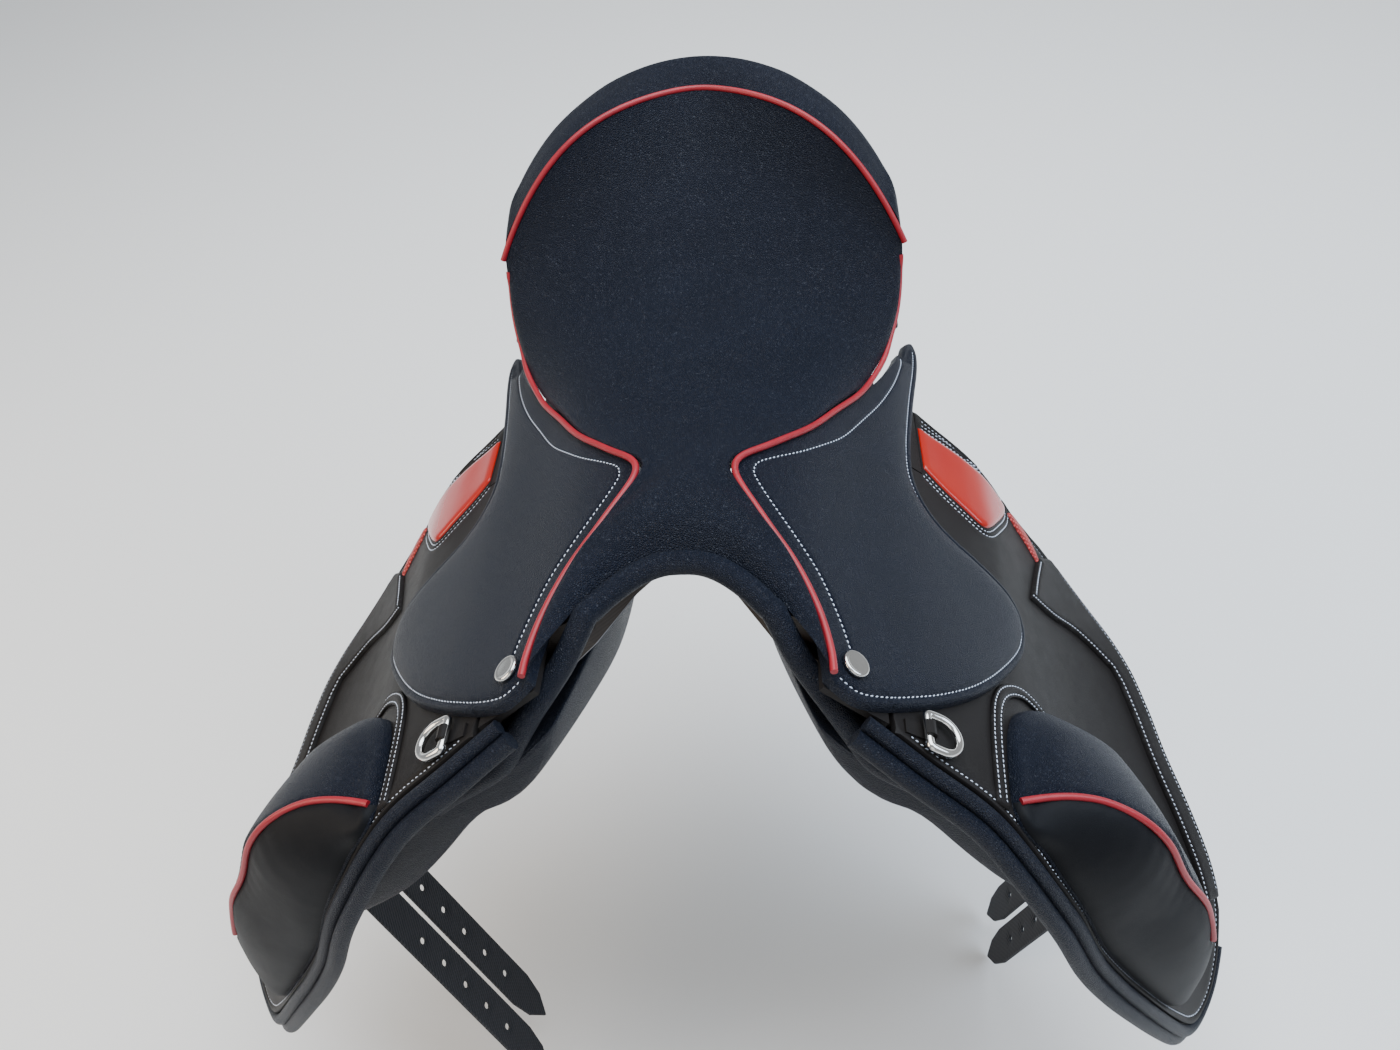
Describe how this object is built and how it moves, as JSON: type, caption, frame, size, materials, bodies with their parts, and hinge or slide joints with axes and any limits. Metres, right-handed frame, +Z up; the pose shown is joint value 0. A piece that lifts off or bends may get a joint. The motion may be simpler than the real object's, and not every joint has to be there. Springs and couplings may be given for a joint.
{
  "type": "dressage saddle",
  "caption": "Deep-seated riding saddle with long straight flaps, outside knee blocks, red piping, liftable skirts and flaps, stirrup bars and long girth straps.",
  "frame": {"origin": "middle of the gullet, level with the face on which the panels bear, under the middle of the seat", "axes": "+X to the rider's left, +Y towards the cantle, +Z up"},
  "size_m": [0.6654, 0.5319, 0.5921],
  "materials": {
    "grain_leather": "fine pebble grain, semi-matt",
    "calf_leather": "smooth, semi-matt",
    "red_piping": "smooth",
    "red_patent": "glossy patent",
    "chrome": "polished",
    "tree_steel": "satin",
    "beech_laminate": "plain",
    "foam": "matt",
    "webbing": "woven"
  },
  "bodies": {
    "saddle": {"billet_web_left": "webbing", "billet_web_right": "webbing", "cantle_panel": "grain_leather", "cantle_piping": "red_piping", "flap_root_left": "calf_leather", "flap_root_right": "calf_leather", "gullet_plate": "tree_steel", "head_plate": "tree_steel", "panel_left": "grain_leather", "panel_right": "grain_leather", "pommel_roll": "grain_leather", "saddle_nail_left": "chrome", "saddle_nail_right": "chrome", "seat_cover": "grain_leather", "seat_foam": "foam", "seat_piping_left": "red_piping", "seat_piping_right": "red_piping", "seat_webbing": "webbing", "skirt_band_left": "grain_leather", "skirt_band_right": "grain_leather", "stirrup_bar_left": "tree_steel", "stirrup_bar_right": "tree_steel", "tree_cantle": "beech_laminate", "tree_head": "beech_laminate", "tree_rail_left": "beech_laminate", "tree_rail_right": "beech_laminate", "tree_spring_left": "tree_steel", "tree_spring_right": "tree_steel"},
    "flap_left_body": {"flap_left": "calf_leather", "under_flap_left": "calf_leather", "flap_roll_left": "grain_leather", "block_strip_left": "calf_leather", "thigh_strip_left": "calf_leather", "knee_block_left": "grain_leather", "block_piping_left": "red_piping", "patent_insert_left": "red_patent", "patent_crescent_left": "red_patent", "dee_chape_left": "calf_leather"},
    "skirt_left_body": {"skirt_left": "grain_leather"},
    "dee_ring_left_body": {"dee_ring_left": "chrome"},
    "bar_catch_left_body": {"bar_catch_left": "tree_steel"},
    "billet_front_left_body": {"billet_front_left": "webbing"},
    "billet_rear_left_body": {"billet_rear_left": "webbing"},
    "flap_right_body": {"flap_right": "calf_leather", "under_flap_right": "calf_leather", "flap_roll_right": "grain_leather", "block_strip_right": "calf_leather", "thigh_strip_right": "calf_leather", "knee_block_right": "grain_leather", "block_piping_right": "red_piping", "patent_insert_right": "red_patent", "patent_crescent_right": "red_patent", "dee_chape_right": "calf_leather"},
    "skirt_right_body": {"skirt_right": "grain_leather"},
    "dee_ring_right_body": {"dee_ring_right": "chrome"},
    "bar_catch_right_body": {"bar_catch_right": "tree_steel"},
    "billet_front_right_body": {"billet_front_right": "webbing"},
    "billet_rear_right_body": {"billet_rear_right": "webbing"}
  },
  "joints": [
    {"name": "flap_left_lift", "type": "hinge", "parent": "saddle", "child": "flap_left_body", "pos_m": [0.10567, 0.00743, 0.07066], "axis": [0, -0.9945, 0.1045], "range_deg": [0, 40]},
    {"name": "skirt_left_lift", "type": "hinge", "parent": "flap_left_body", "child": "skirt_left_body", "pos_m": [0.10567, 0.00743, 0.07066], "axis": [0, -0.9945, 0.1045], "range_deg": [0, 60]},
    {"name": "dee_ring_left_swing", "type": "hinge", "parent": "flap_left_body", "child": "dee_ring_left_body", "pos_m": [0.12083, -0.19798, 0.07755], "axis": [0, -0.9945, 0.1045], "range_deg": [0, 80]},
    {"name": "bar_catch_left_open", "type": "hinge", "parent": "saddle", "child": "bar_catch_left_body", "pos_m": [0.0868, -0.06787, 0.07559], "axis": [0.5611, 0.0862, 0.8232], "range_deg": [0, 75]},
    {"name": "billet_front_left_swing", "type": "hinge", "parent": "saddle", "child": "billet_front_left_body", "pos_m": [0.26797, -0.1587, -0.15149], "axis": [0, -0.9945, 0.1045], "range_deg": [-12, 40]},
    {"name": "billet_rear_left_swing", "type": "hinge", "parent": "saddle", "child": "billet_rear_left_body", "pos_m": [0.26797, -0.12588, -0.15494], "axis": [0, -0.9945, 0.1045], "range_deg": [-12, 40]},
    {"name": "flap_right_lift", "type": "hinge", "parent": "saddle", "child": "flap_right_body", "pos_m": [-0.10567, 0.00743, 0.07066], "axis": [0, 0.9945, -0.1045], "range_deg": [0, 40]},
    {"name": "skirt_right_lift", "type": "hinge", "parent": "flap_right_body", "child": "skirt_right_body", "pos_m": [-0.10567, 0.00743, 0.07066], "axis": [0, 0.9945, -0.1045], "range_deg": [0, 60]},
    {"name": "dee_ring_right_swing", "type": "hinge", "parent": "flap_right_body", "child": "dee_ring_right_body", "pos_m": [-0.12083, -0.19798, 0.07755], "axis": [0, 0.9945, -0.1045], "range_deg": [0, 80]},
    {"name": "bar_catch_right_open", "type": "hinge", "parent": "saddle", "child": "bar_catch_right_body", "pos_m": [-0.0868, -0.06787, 0.07559], "axis": [0.5611, -0.0862, -0.8232], "range_deg": [0, 75]},
    {"name": "billet_front_right_swing", "type": "hinge", "parent": "saddle", "child": "billet_front_right_body", "pos_m": [-0.26797, -0.1587, -0.15149], "axis": [0, 0.9945, -0.1045], "range_deg": [-12, 40]},
    {"name": "billet_rear_right_swing", "type": "hinge", "parent": "saddle", "child": "billet_rear_right_body", "pos_m": [-0.26797, -0.12588, -0.15494], "axis": [0, 0.9945, -0.1045], "range_deg": [-12, 40]}
  ]
}
